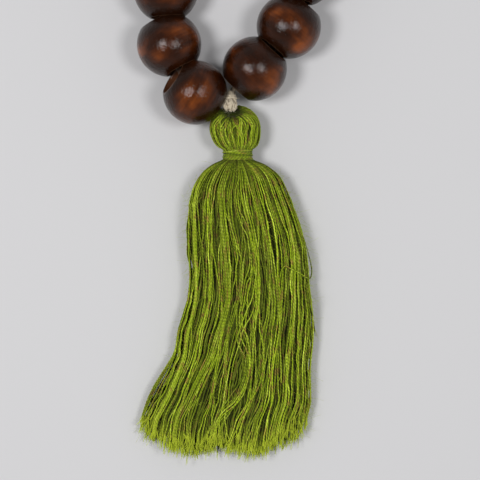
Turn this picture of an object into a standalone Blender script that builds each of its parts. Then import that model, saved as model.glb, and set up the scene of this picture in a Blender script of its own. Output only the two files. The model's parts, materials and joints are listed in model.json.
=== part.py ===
"""Misbaha prayer beads: wooden beads on a cotton cord, with a yarn tassel, lying flat.

The strand lies in the XY plane on z = 0, with the tassel towards -Y. All sizes are in metres.
The beads are turned from wood with a wide bore, so neighbours seat rim to rim.
"""

import math

import bmesh
import bpy
from mathutils import Matrix, Vector

# Beads
BEAD_RADIUS = 0.0125
BORE_RADIUS = 0.0063
RIM_CHAMFER = 0.0007
BEAD_COUNT = 33
BEADS_PER_SET = 11
BEADS_BEFORE_GAP = 24
SEAT_GAP = 0.0003
FIRST_SEAT_GAP = 0.0005
DISC_SEAT_GAP = 0.0007

# Marker discs between the sets of beads
DISC_RADIUS = 0.0095
DISC_HALF = 0.003
DISC_BORE = 0.0034

# Stringing cord
CORD_RADIUS = 0.0012
CORD_POINTS = 80
CORD_BEVEL_RESOLUTION = 2

# The tied end of the strand, which the cord's route and the tassel are measured from
KNOT = Vector((-0.0111, -0.0968, 0.0))

# The cord's route: from the knot, up the left, round the top and down the right
ROUTE = [
    (-0.0022, -0.0022, 0.0106),
    (-0.0062, -0.0022, 0.0112),
    (-0.0139, 0.0001, 0.0132),
    (-0.0201, 0.0092, 0.0139),
    (-0.0240, 0.0189, 0.0126),
    (-0.0252, 0.0395, 0.0110),
    (-0.0270, 0.0610, 0.0106),
    (-0.0335, 0.1000, 0.0118),
    (-0.0425, 0.1450, 0.0125),
    (-0.0490, 0.1880, 0.0125),
    (-0.0500, 0.2280, 0.0125),
    (-0.0455, 0.2660, 0.0125),
    (-0.0315, 0.2985, 0.0125),
    (-0.0075, 0.3185, 0.0125),
    (0.0205, 0.3215, 0.0125),
    (0.0455, 0.3065, 0.0125),
    (0.0628, 0.2795, 0.0125),
    (0.0702, 0.2480, 0.0125),
    (0.0722, 0.2240, 0.0121),
    (0.0722, 0.2030, 0.0086),
    (0.0710, 0.1820, 0.0121),
    (0.0668, 0.1520, 0.0125),
    (0.0568, 0.1170, 0.0125),
    (0.0418, 0.0800, 0.0116),
    (0.0286, 0.0480, 0.0102),
    (0.0222, 0.0253, 0.0096),
    (0.0092, 0.0094, 0.0108),
    (0.0021, 0.0026, 0.0104),
    (0.0006, 0.0008, 0.0100),
]
FIRST_BEAD = Vector((-0.0139, 0.0001, 0.0132))
FIRST_BEAD_TURN = math.radians(148)
FIRST_BEAD_RISE = math.radians(14)
LAST_BEAD = Vector((0.0092, 0.0094, 0.0125))
LAST_BEAD_TURN = math.radians(47)
LAST_BEAD_RISE = math.radians(8)

# Knot that ties the cord's ends, and the hanger that it carries into the tassel
KNOT_X = 0.0006
KNOT_TOP = 0.0001
KNOT_LENGTH = 0.0045
KNOT_RADIUS = 0.0023
HANGER_RADIUS = 0.0014
HANGER_LENGTH = 0.0042
STOPPER_LENGTH = 0.0050
STOPPER_RADIUS = 0.0032

# Tassel, measured down from the knot along -Y
TASSEL_HEIGHT = 0.0090
PART_GAP = 0.0003
HEAD_X = 0.0016
HEAD_TOP = 0.0050
HEAD_LENGTH = 0.0171
HEAD_RADIUS = 0.0099
HEAD_SQUASH = 0.9
HEAD_WALL = 0.0040
HEAD_EYE_RADIUS = 0.0024
NECK_X = 0.0026
NECK_TOP = HEAD_TOP + HEAD_LENGTH + PART_GAP
NECK_LENGTH = 0.0040
NECK_RADIUS = 0.0064
BINDING_TURNS = 5
BINDING_YARN_RADIUS = NECK_LENGTH / BINDING_TURNS / 2
CORE_RADIUS = NECK_RADIUS - 2 * BINDING_YARN_RADIUS - PART_GAP
SKIRT_TOP = NECK_TOP + NECK_LENGTH + PART_GAP

# Skirt sections: (distance below its top, left edge, right edge, underside, thickness)
SKIRT_SECTIONS = [
    (0.0000, 0.0016, 0.0036, 0.0070, 0.0040),
    (0.0014, -0.0036, 0.0088, 0.0030, 0.0120),
    (0.0019, -0.0086, 0.0141, 0.0022, 0.0136),
    (0.0048, -0.0126, 0.0184, 0.0010, 0.0156),
    (0.0100, -0.0156, 0.0212, 0.0000, 0.0172),
    (0.0210, -0.0170, 0.0254, 0.0000, 0.0176),
    (0.0380, -0.0168, 0.0293, 0.0000, 0.0168),
    (0.0550, -0.0166, 0.0312, 0.0000, 0.0156),
    (0.0700, -0.0210, 0.0312, 0.0000, 0.0142),
    (0.0860, -0.0272, 0.0310, 0.0000, 0.0126),
    (0.1000, -0.0340, 0.0304, 0.0000, 0.0110),
    (0.1080, -0.0330, 0.0275, 0.0000, 0.0096),
    (0.1140, -0.0230, 0.0205, 0.0000, 0.0080),
]
SKIRT_SIDES = 20
SKIRT_FLATTENING = 0.16
SKIRT_FULLNESS = 0.8

TURNED_STEPS = 16
OUTER_STEPS = 6
CURVE_SAMPLES = 16


def clear_scene():
    for obj in list(bpy.data.objects):
        bpy.data.objects.remove(obj)


def make_material(name, colour, roughness):
    material = bpy.data.materials.new(name)
    material.use_nodes = True
    shader = material.node_tree.nodes["Principled BSDF"]
    shader.inputs["Base Color"].default_value = (*colour, 1.0)
    shader.inputs["Roughness"].default_value = roughness
    shader.inputs["Metallic"].default_value = 0.0
    return material


def link(obj, collection, material):
    collection.objects.link(obj)
    obj.data.materials.append(material)
    return obj


# ---------------------------------------------------------------- the route


def smooth_route(points):
    """A Catmull-Rom curve through the points, as a fine list of points."""
    ends = [points[0] * 2 - points[1], *points, points[-1] * 2 - points[-2]]
    fine = []
    for a, b, c, d in zip(ends, ends[1:], ends[2:], ends[3:]):
        for step in range(CURVE_SAMPLES):
            t = step / CURVE_SAMPLES
            fine.append(
                0.5
                * (
                    2 * b
                    + (c - a) * t
                    + (2 * a - 5 * b + 4 * c - d) * t**2
                    + (3 * b - a - 3 * c + d) * t**3
                )
            )
    return [*fine, points[-1]]


def evenly_spaced(line, count):
    """The line again, as count points an equal length apart."""
    along = [0.0]
    for a, b in zip(line, line[1:]):
        along.append(along[-1] + (b - a).length)
    spaced, i = [], 0
    for k in range(count):
        wanted = along[-1] * k / (count - 1)
        while i < len(line) - 2 and along[i + 1] < wanted:
            i += 1
        share = (wanted - along[i]) / (along[i + 1] - along[i])
        spaced.append(line[i].lerp(line[i + 1], min(share, 1.0)))
    return spaced


def next_on_line(line, start, centre, reach):
    """(index, point): where the line first gets that far from centre, from index start on."""
    for i in range(start, len(line) - 1):
        near, far = (line[i] - centre).length, (line[i + 1] - centre).length
        if near <= reach < far:
            return i, line[i].lerp(line[i + 1], (reach - near) / (far - near))
    raise ValueError("the route is too short for its beads")


def thread(line, pieces, first_centre, first_axis, first_gap):
    """Threads pieces of (name, half length) along the line. Returns {name: (centre, axis)}.

    Each piece seats on the one before it, with its bore in line with that piece's centre.
    """
    name, half = pieces[0]
    places = {name: (first_centre, first_axis)}
    level = [Vector((p.x, p.y, BEAD_RADIUS)) for p in line]
    at, centre, gap = 0, first_centre, first_gap
    for name, next_half in pieces[1:]:
        beside_disc = DISC_HALF in (half, next_half)
        reach = half + next_half + (DISC_SEAT_GAP if beside_disc else gap)
        at, found = next_on_line(level, at, centre, reach)
        places[name] = (found, (found - centre).normalized())
        centre, half, gap = found, next_half, SEAT_GAP
    return places


def bead_name(number):
    return f"bead_{number:02d}"


def rim_height():
    """Half the length of a bead from rim to rim."""
    return math.sqrt(BEAD_RADIUS**2 - (BORE_RADIUS + RIM_CHAMFER) ** 2)


def heading(turn, rise):
    """The direction that far round from +X, and that far up."""
    level = math.cos(rise)
    return Vector((math.cos(turn) * level, math.sin(turn) * level, math.sin(rise)))


def lay_out(line):
    """Where every bead and disc is threaded: {name: (centre, axis)}."""
    left = []
    for number in range(1, BEADS_BEFORE_GAP + 1):
        left.append((bead_name(number), rim_height()))
        if number % BEADS_PER_SET == 0:
            left.append((f"marker_disc_{number // BEADS_PER_SET}", DISC_HALF))
    right = [(bead_name(n), rim_height()) for n in range(BEAD_COUNT, BEADS_BEFORE_GAP, -1)]
    first_axis = heading(FIRST_BEAD_TURN, FIRST_BEAD_RISE)
    places = thread(line, left, KNOT + FIRST_BEAD, first_axis, FIRST_SEAT_GAP)
    last_axis = heading(LAST_BEAD_TURN, LAST_BEAD_RISE)
    places.update(thread(line[::-1], right, KNOT + LAST_BEAD, last_axis, SEAT_GAP))
    return places


# ---------------------------------------------------------------- turned shapes


def profile_mesh(name, outline, closed):
    """A mesh of the edges along an outline of (radius, height) points."""
    mesh = bpy.data.meshes.new(name)
    points = [(radius, 0.0, height) for radius, height in outline]
    edges = [(i, i + 1) for i in range(len(points) - 1)]
    if closed:
        edges.append((len(points) - 1, 0))
    mesh.from_pydata(points, edges, [])
    return mesh


def turn(obj, steps=TURNED_STEPS):
    """Turns the object's profile about its own Z axis."""
    screw = obj.modifiers.new("Turned", "SCREW")
    screw.steps = steps
    screw.render_steps = steps
    screw.use_merge_vertices = True
    screw.merge_threshold = 0.00001
    screw.use_smooth_shade = True
    return obj


def arc(radius_x, radius_z, start, end, steps, centre_z=0.0):
    points = []
    for i in range(steps + 1):
        angle = start + (end - start) * i / steps
        points.append((radius_x * math.cos(angle), centre_z + radius_z * math.sin(angle)))
    return points


def bead_outline():
    rim = math.atan2(rim_height(), BORE_RADIUS + RIM_CHAMFER)
    bore_end = rim_height() - RIM_CHAMFER
    outer = arc(BEAD_RADIUS, BEAD_RADIUS, rim, -rim, OUTER_STEPS)
    return [*outer, (BORE_RADIUS, -bore_end), (BORE_RADIUS, bore_end)]


def disc_outline():
    flat_radius = DISC_RADIUS - DISC_HALF
    edge = arc(DISC_HALF, DISC_HALF, math.radians(90), math.radians(-90), 4)
    outer = [(flat_radius + r, z) for r, z in edge]
    return [*outer, (DISC_BORE, -DISC_HALF), (DISC_BORE, DISC_HALF)]


def aim(obj, centre, axis):
    obj.location = centre
    obj.rotation_mode = "QUATERNION"
    obj.rotation_quaternion = axis.to_track_quat("Z", "Y")


def make_threaded(places, collection, wood):
    bead_mesh = profile_mesh("bead_profile", bead_outline(), closed=True)
    disc_mesh = profile_mesh("disc_profile", disc_outline(), closed=True)
    bead_mesh.materials.append(wood)
    disc_mesh.materials.append(wood)
    for name, (centre, axis) in places.items():
        mesh = disc_mesh if name.startswith("marker") else bead_mesh
        obj = bpy.data.objects.new(name, mesh)
        collection.objects.link(obj)
        aim(obj, centre, axis)
        turn(obj)


# ---------------------------------------------------------------- cord and tassel


def make_tube(name, points, radius, collection, material):
    curve = bpy.data.curves.new(name, "CURVE")
    curve.dimensions = "3D"
    curve.bevel_depth = radius
    curve.bevel_resolution = CORD_BEVEL_RESOLUTION
    curve.use_fill_caps = True
    spline = curve.splines.new("POLY")
    spline.points.add(len(points) - 1)
    for control, point in zip(spline.points, points):
        control.co = (*point, 1.0)
    return link(bpy.data.objects.new(name, curve), collection, material)


def make_turned_down(name, outline, closed, place, collection, material, squash=1.0):
    """A turned piece whose outline is (radius, distance down -Y from its place)."""
    x, top = place
    down = [(radius, -distance) for radius, distance in outline]
    obj = bpy.data.objects.new(name, profile_mesh(name, down, closed))
    obj.location = KNOT + Vector((x, -top, TASSEL_HEIGHT))
    obj.rotation_euler = (math.radians(-90), 0.0, 0.0)
    obj.scale = (1.0, squash, 1.0)
    return turn(link(obj, collection, material))


def make_knot_and_hanger(collection, cotton):
    """The knot where the cord's ends are tied, and the hanger and stopper knot inside the tassel head."""
    knot = [
        (0.0, 0.0),
        (KNOT_RADIUS * 0.55, 0.0),
        (KNOT_RADIUS * 0.8, KNOT_LENGTH * 0.3),
        (KNOT_RADIUS, KNOT_LENGTH * 0.65),
        (KNOT_RADIUS * 0.6, KNOT_LENGTH),
        (0.0, KNOT_LENGTH),
    ]
    make_turned_down("hanging_knot", knot, False, (KNOT_X, KNOT_TOP), collection, cotton)
    hanger_top = KNOT_TOP + KNOT_LENGTH + 2 * PART_GAP
    hanger = [(0.0, 0.0), (HANGER_RADIUS, 0.0), (HANGER_RADIUS, HANGER_LENGTH), (0.0, HANGER_LENGTH)]
    make_turned_down("hanger_cord", hanger, False, (HEAD_X, hanger_top), collection, cotton)
    half = STOPPER_LENGTH / 2
    stopper = arc(STOPPER_RADIUS, half, math.radians(90), math.radians(-90), 6)
    stopper = [(radius, half - height) for radius, height in stopper]
    stopper_top = hanger_top + HANGER_LENGTH + PART_GAP
    make_turned_down("stopper_knot", stopper, False, (HEAD_X, stopper_top), collection, cotton)


def make_head(collection, yarn):
    """The folded top of the yarn hank: a squashed ball with an eye at its top, round the stopper knot."""
    half = HEAD_LENGTH / 2
    eye_angle = math.acos(HEAD_EYE_RADIUS / HEAD_RADIUS)
    foot_angle = -math.acos(CORE_RADIUS / HEAD_RADIUS)
    skin = arc(HEAD_RADIUS, half, eye_angle, foot_angle, 8)
    hollow_radius = HEAD_RADIUS - HEAD_WALL
    hollow_eye = math.acos(HEAD_EYE_RADIUS / hollow_radius)
    hollow = arc(hollow_radius, half - HEAD_WALL, math.radians(-90), hollow_eye, 6)
    outline = [(radius, half - height) for radius, height in [*hollow, *skin]]
    outline += [(CORE_RADIUS, HEAD_LENGTH), (0.0, HEAD_LENGTH)]
    place = (HEAD_X, HEAD_TOP)
    make_turned_down("tassel_head", outline, False, place, collection, yarn, HEAD_SQUASH)


def make_neck(collection, yarn):
    """The gathered yarn, and the turns of yarn that bind it."""
    core = [(0.0, 0.0), (CORE_RADIUS, 0.0), (CORE_RADIUS, NECK_LENGTH), (0.0, NECK_LENGTH)]
    place = (NECK_X, NECK_TOP)
    make_turned_down("neck_core", core, False, place, collection, yarn)
    middle = NECK_RADIUS - BINDING_YARN_RADIUS
    wraps = []
    for wrap in range(BINDING_TURNS):
        centre = BINDING_YARN_RADIUS * (2 * wrap + 1)
        wraps += [
            (middle + BINDING_YARN_RADIUS * 0.5, centre - BINDING_YARN_RADIUS * 0.87),
            (NECK_RADIUS, centre),
            (middle + BINDING_YARN_RADIUS * 0.5, centre + BINDING_YARN_RADIUS * 0.87),
        ]
    inside = NECK_RADIUS - 2 * BINDING_YARN_RADIUS
    wraps += [(inside, wraps[-1][1]), (inside, wraps[0][1])]
    make_turned_down("neck_binding", wraps, True, place, collection, yarn)


def rounded(value):
    return math.copysign(abs(value) ** SKIRT_FULLNESS, value)


def skirt_section(mesh, section):
    """A ring of vertices across the skirt: a full oval that is flat where it lies."""
    distance, left, right, underside, thickness = section
    ring = []
    for side in range(SKIRT_SIDES):
        angle = 2 * math.pi * (side + 0.5) / SKIRT_SIDES
        x = (left + right) / 2 + (right - left) / 2 * rounded(math.cos(angle))
        height = max(0.5 + 0.5 * rounded(math.sin(angle)), SKIRT_FLATTENING) - SKIRT_FLATTENING
        z = underside + thickness * height / (1 - SKIRT_FLATTENING)
        ring.append(mesh.verts.new(KNOT + Vector((x, -SKIRT_TOP - distance, z))))
    return ring


def make_skirt(collection, yarn):
    """The loose ends of the yarn, as one soft solid lofted through its sections."""
    mesh = bmesh.new()
    rings = [skirt_section(mesh, section) for section in SKIRT_SECTIONS]
    for upper, lower in zip(rings, rings[1:]):
        for side in range(SKIRT_SIDES):
            beside = (side + 1) % SKIRT_SIDES
            mesh.faces.new((upper[side], upper[beside], lower[beside], lower[side]))
    mesh.faces.new(rings[0])
    mesh.faces.new(rings[-1])
    bmesh.ops.recalc_face_normals(mesh, faces=mesh.faces)
    data = bpy.data.meshes.new("tassel_skirt")
    mesh.to_mesh(data)
    mesh.free()
    pivot = KNOT + Vector((NECK_X, -SKIRT_TOP, TASSEL_HEIGHT))
    data.transform(Matrix.Translation(-pivot))
    data.shade_smooth()
    obj = link(bpy.data.objects.new("tassel_skirt", data), collection, yarn)
    obj.location = pivot


def main():
    clear_scene()
    collection = bpy.data.collections.new("misbaha")
    bpy.context.scene.collection.children.link(collection)
    wood = make_material("stained_wood", (0.09, 0.032, 0.014), 0.35)
    cotton = make_material("natural_cotton", (0.52, 0.45, 0.36), 0.9)
    yarn = make_material("green_yarn", (0.19, 0.27, 0.02), 0.85)

    line = smooth_route([KNOT + Vector(point) for point in ROUTE])
    make_threaded(lay_out(line), collection, wood)
    make_tube("stringing_cord", evenly_spaced(line, CORD_POINTS), CORD_RADIUS, collection, cotton)
    make_knot_and_hanger(collection, cotton)
    make_head(collection, yarn)
    make_neck(collection, yarn)
    make_skirt(collection, yarn)


main()
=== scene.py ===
"""Looks of the misbaha prayer beads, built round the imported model: wood, cotton twine and yarn.

Every length is in metres. The strand lies in the XY plane, with the tassel towards -Y.
"""

import json
import math

import bpy
import numpy as np
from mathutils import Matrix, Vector


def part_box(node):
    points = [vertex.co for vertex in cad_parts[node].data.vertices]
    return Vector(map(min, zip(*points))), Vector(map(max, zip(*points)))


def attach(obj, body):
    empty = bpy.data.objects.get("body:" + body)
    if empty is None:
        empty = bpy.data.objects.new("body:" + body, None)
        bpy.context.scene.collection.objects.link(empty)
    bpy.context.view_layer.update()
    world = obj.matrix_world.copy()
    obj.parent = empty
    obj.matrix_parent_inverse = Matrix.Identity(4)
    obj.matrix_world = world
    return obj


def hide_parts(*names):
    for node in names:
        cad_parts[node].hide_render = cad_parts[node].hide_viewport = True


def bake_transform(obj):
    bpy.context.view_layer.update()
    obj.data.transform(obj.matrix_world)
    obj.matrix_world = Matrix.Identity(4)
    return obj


MM = 0.001
TURN = 2 * math.pi

# The tied end of the strand, and the cord's route from there, as in part.py
KNOT = np.array((-0.0111, -0.0968, 0.0))
ROUTE = [
    (-0.0022, -0.0022, 0.0106),
    (-0.0062, -0.0022, 0.0112),
    (-0.0139, 0.0001, 0.0132),
    (-0.0201, 0.0092, 0.0139),
    (-0.0240, 0.0189, 0.0126),
    (-0.0252, 0.0395, 0.0110),
    (-0.0270, 0.0610, 0.0106),
    (-0.0335, 0.1000, 0.0118),
    (-0.0425, 0.1450, 0.0125),
    (-0.0490, 0.1880, 0.0125),
    (-0.0500, 0.2280, 0.0125),
    (-0.0455, 0.2660, 0.0125),
    (-0.0315, 0.2985, 0.0125),
    (-0.0075, 0.3185, 0.0125),
    (0.0205, 0.3215, 0.0125),
    (0.0455, 0.3065, 0.0125),
    (0.0628, 0.2795, 0.0125),
    (0.0702, 0.2480, 0.0125),
    (0.0722, 0.2240, 0.0121),
    (0.0722, 0.2030, 0.0086),
    (0.0710, 0.1820, 0.0121),
    (0.0668, 0.1520, 0.0125),
    (0.0568, 0.1170, 0.0125),
    (0.0418, 0.0800, 0.0116),
    (0.0286, 0.0480, 0.0102),
    (0.0222, 0.0253, 0.0096),
    (0.0092, 0.0094, 0.0108),
    (0.0021, 0.0026, 0.0104),
    (0.0006, 0.0008, 0.0100),
]
SLACK = 19
ROUTE_INTO_KNOT = [(0.0004, -0.0034, 0.0106), (-0.0008, -0.0026, 0.0106)]
ROUTE_OUT_OF_KNOT = [(0.0003, -0.0012, 0.0104), (0.0004, -0.0034, 0.0108)]

# Camera and light
LENS = 150.0
SENSOR = 36.0
FIELD = 0.18605
VIEW_CENTRE = KNOT + (0.0035, -0.0570, 0.0125)
KEY_TILT = math.radians(23)
KEY_DISTANCE = 1.0
KEY_SIZE = 0.28
KEY_POWER = 3.7
KEY_LEFT_SHARE = 1.28
KEY_RIGHT_SHARE = 0.82
AMBIENT_OVERHEAD = 0.16
AMBIENT_HORIZON = 0.56
FLOOR_COLOUR = (0.668, 0.664, 0.676)
FLOOR_SIZE = 3.0

# Beads
BEAD_RADIUS = 0.0125
MOUTH_RADIUS = 0.0070
BORE_RADIUS = 0.0063
DISC_RADIUS = 0.0095
DISC_HALF = 0.003
DISC_BORE = 0.0034
BEAD_STEPS = 72
WOOD_ROUGHNESS = 0.105
MOUTH_HEIGHT = 0.01022

# Cotton twine, and how far from the knot and the gap's middle the cord is left without its painted
# shade
CORD_RADIUS = 0.0012
CORD_STEP = 0.0005
UNSHADED_AT_KNOT = 0.009
UNSHADED_AT_GAP = 0.041
TIE_TOP = KNOT + (-0.0001, 0.0004, 0.0118)
TIE_FOOT = KNOT + (-0.0004, -0.0068, 0.0158)
KNOT_STEP = 0.0003
HAIR_RADIUS = 0.000024

# Yarn: two plies, seen as a two-lobed strand that turns along its length
YARN_RADIUS = 0.00031
PLY_DEPTH = 0.20
PLY_PITCH = 0.0026
PLY_SHADE = 0.36
FLANK_SHADE = 0.05
FLANK_FALL = 2.5
YARN_STEP = 0.00043
COARSE_STEP = 0.0010
YARN_SIDES = 6
TONES = 10

# Tassel, as offsets from the knot
AXIS_HEIGHT = 0.0090
HEAD_X = 0.0016
HEAD_CENTRE = KNOT + (HEAD_X, -0.01365, AXIS_HEIGHT)
HEAD_SEMI = np.array((0.0102, 0.0096, 0.0091))
EYE_RISE = math.radians(40)
EYE_TURN = math.radians(8)
NECK_X = 0.0026
NECK_TOP = 0.0224
NECK_LENGTH = 0.0040
NECK_RADIUS = 0.0064
SKIRT_TOP = 0.0267
# Layers of head yarns: (size, count, shade)
HEAD_LAYERS = [(0.905, 100, 0.30), (0.95, 116, 0.66), (0.99, 130, 1.1)]
# Layers of the binding: (how far out, turns, slope)
BINDING_LAYERS = [(0.0, 7.3, 1.0), (0.6, 3.2, -0.9), (0.9, 1.6, 0.7)]
NECK_YARNS = 170

# The skirt's outline: (distance below its top, left edge, right edge, underside, thickness)
SKIRT_ROWS = [
    (-0.0040, -0.0026, 0.0080, 0.0042, 0.0096),
    (-0.0008, -0.0032, 0.0084, 0.0038, 0.0108),
    (0.0008, -0.0074, 0.0134, 0.0026, 0.0134),
    (0.0024, -0.0097, 0.0158, 0.0018, 0.0146),
    (0.0040, -0.0116, 0.0182, 0.0012, 0.0154),
    (0.0070, -0.0138, 0.0206, 0.0006, 0.0164),
    (0.0102, -0.0155, 0.0221, 0.0001, 0.0172),
    (0.0132, -0.0163, 0.0234, 0.0000, 0.0174),
    (0.0163, -0.0170, 0.0246, 0.0000, 0.0176),
    (0.0225, -0.0173, 0.0270, 0.0000, 0.0177),
    (0.0287, -0.0174, 0.0288, 0.0000, 0.0175),
    (0.0349, -0.0173, 0.0302, 0.0000, 0.0172),
    (0.0411, -0.0168, 0.0309, 0.0000, 0.0167),
    (0.0473, -0.0165, 0.0312, 0.0000, 0.0162),
    (0.0535, -0.0168, 0.0319, 0.0000, 0.0156),
    (0.0597, -0.0184, 0.0322, 0.0000, 0.0150),
    (0.0660, -0.0206, 0.0320, 0.0000, 0.0145),
    (0.0752, -0.0226, 0.0313, 0.0000, 0.0137),
    (0.0814, -0.0254, 0.0313, 0.0000, 0.0130),
    (0.0876, -0.0286, 0.0319, 0.0000, 0.0124),
    (0.0938, -0.0318, 0.0322, 0.0000, 0.0117),
    (0.1000, -0.0350, 0.0307, 0.0000, 0.0109),
    (0.1060, -0.0362, 0.0300, 0.0000, 0.0101),
    (0.1170, -0.0370, 0.0290, 0.0000, 0.0090),
]
SKIRT_END = 0.1108
SKIRT_CORNER_RISE = 0.0082
SKIRT_FLATTENING = 0.16

# Layers of skirt yarns from the outside in: (count, reach, sinking of the deepest, shade)
SKIRT_LAYERS = [
    (170, 0.990, 0.080, 1.0),
    (172, 0.925, 0.045, 0.34),
    (170, 0.870, 0.030, 0.12),
    (100, 0.640, 0.240, 0.14),
]
BIG_LOCKS = 21
SMALL_LOCKS = 56
CROSSING_LOCKS = 4
END_YARNS = 240
# Where the skirt's yarns start, and how many points each has
SKIRT_START = -0.0030
SKIRT_POINTS = 110
# The power that squares the skirt's section: 1 is an ellipse
FULLNESS = 0.78
FUZZ_FIBRES = 1500
FUZZ_RADIUS = 0.000028

rng = np.random.default_rng(33)
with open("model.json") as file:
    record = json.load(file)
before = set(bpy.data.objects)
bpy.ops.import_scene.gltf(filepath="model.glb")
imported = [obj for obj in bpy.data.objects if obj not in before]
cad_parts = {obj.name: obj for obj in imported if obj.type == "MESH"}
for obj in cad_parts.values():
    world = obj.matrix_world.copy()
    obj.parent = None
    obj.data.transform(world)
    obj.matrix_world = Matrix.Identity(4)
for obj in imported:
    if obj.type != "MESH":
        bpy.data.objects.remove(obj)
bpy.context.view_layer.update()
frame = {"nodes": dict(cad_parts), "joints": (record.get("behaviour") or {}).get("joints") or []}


# ---------------------------------------------------------------- camera, light and floor


def make_camera():
    camera = bpy.data.cameras.new("camera")
    camera.lens = LENS
    camera.sensor_width = SENSOR
    camera.clip_start = 0.01
    obj = bpy.data.objects.new("camera", camera)
    obj.location = Vector(VIEW_CENTRE) + Vector((0, 0, FIELD * LENS / SENSOR))
    bpy.context.scene.collection.objects.link(obj)
    bpy.context.scene.camera = obj


def make_key_light(name, tilt, power):
    light = bpy.data.lights.new(name, "AREA")
    light.shape = "DISK"
    light.size = KEY_SIZE
    light.energy = power
    obj = bpy.data.objects.new(name, light)
    toward = Vector((math.sin(tilt), 0.02, math.cos(tilt)))
    obj.location = Vector(VIEW_CENTRE) + toward * KEY_DISTANCE
    obj.rotation_mode = "QUATERNION"
    obj.rotation_quaternion = toward.to_track_quat("Z", "Y")
    bpy.context.scene.collection.objects.link(obj)


def make_studio():
    make_key_light("key_left", -KEY_TILT, KEY_POWER * KEY_LEFT_SHARE)
    make_key_light("key_right", KEY_TILT, KEY_POWER * KEY_RIGHT_SHARE)
    world = bpy.data.worlds.new("studio")
    world.use_nodes = True
    background = world.node_tree.nodes["Background"]
    tree = world.node_tree
    split = tree.nodes.new("ShaderNodeSeparateXYZ")
    tree.links.new(tree.nodes.new("ShaderNodeTexCoord").outputs["Generated"], split.inputs[0])
    stops = [(0.0, (AMBIENT_HORIZON,) * 3), (1.0, (AMBIENT_OVERHEAD,) * 3)]
    tree.links.new(add_ramp(tree, split.outputs["Z"], stops), background.inputs["Color"])
    bpy.context.scene.world = world
    bpy.context.scene.view_settings.view_transform = "Standard"
    bpy.ops.mesh.primitive_plane_add(size=FLOOR_SIZE)
    floor = bpy.context.object
    floor.name = "floor"
    material, shader = new_material("floor_surface", FLOOR_COLOUR, 0.9)
    shader.inputs["Specular IOR Level"].default_value = 0.1
    floor.data.materials.append(material)


# ---------------------------------------------------------------- materials


def new_material(name, colour, roughness):
    """(material, its shader)"""
    material = bpy.data.materials.new(name)
    material.use_nodes = True
    shader = material.node_tree.nodes["Principled BSDF"]
    shader.inputs["Base Color"].default_value = (*colour, 1.0)
    shader.inputs["Roughness"].default_value = roughness
    return material, shader


def add_node(tree, kind, **settings):
    """A node with its sockets set by name, or its own properties where it has no such socket."""
    node = tree.nodes.new(kind)
    for key, value in settings.items():
        if key in node.inputs:
            node.inputs[key].default_value = value
        else:
            setattr(node, key, value)
    return node


def add_math(tree, operation, first, second):
    node = tree.nodes.new("ShaderNodeMath")
    node.operation = operation
    for socket, value in zip(node.inputs, (first, second)):
        if isinstance(value, (int, float)):
            socket.default_value = value
        else:
            tree.links.new(value, socket)
    return node.outputs[0]


def add_ramp(tree, factor, stops):
    """A colour ramp over (position, colour) stops."""
    node = tree.nodes.new("ShaderNodeValToRGB")
    ramp = node.color_ramp
    ramp.elements[0].position, ramp.elements[1].position = stops[0][0], stops[-1][0]
    ramp.elements[0].color = (*stops[0][1], 1.0)
    ramp.elements[1].color = (*stops[-1][1], 1.0)
    for position, colour in stops[1:-1]:
        ramp.elements.new(position).color = (*colour, 1.0)
    tree.links.new(factor, node.inputs["Fac"])
    return node.outputs["Color"]


def scaled_vector(tree, source, scale, offset=None):
    """source times scale, and plus offset along each axis."""
    node = tree.nodes.new("ShaderNodeVectorMath")
    node.operation = "MULTIPLY"
    tree.links.new(source, node.inputs[0])
    node.inputs[1].default_value = scale
    if offset is None:
        return node.outputs[0]
    shift = tree.nodes.new("ShaderNodeVectorMath")
    shift.operation = "ADD"
    tree.links.new(node.outputs[0], shift.inputs[0])
    tree.links.new(offset, shift.inputs[1])
    return shift.outputs[0]


def add_noise(tree, vector, detail=2.0, scale=1.0, roughness=0.5):
    node = add_node(tree, "ShaderNodeTexNoise", Scale=scale, Detail=detail, Roughness=roughness)
    tree.links.new(vector, node.inputs["Vector"])
    return node.outputs["Fac"]


def add_attribute(tree, name):
    return add_node(tree, "ShaderNodeAttribute", attribute_name=name).outputs["Fac"]


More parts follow.
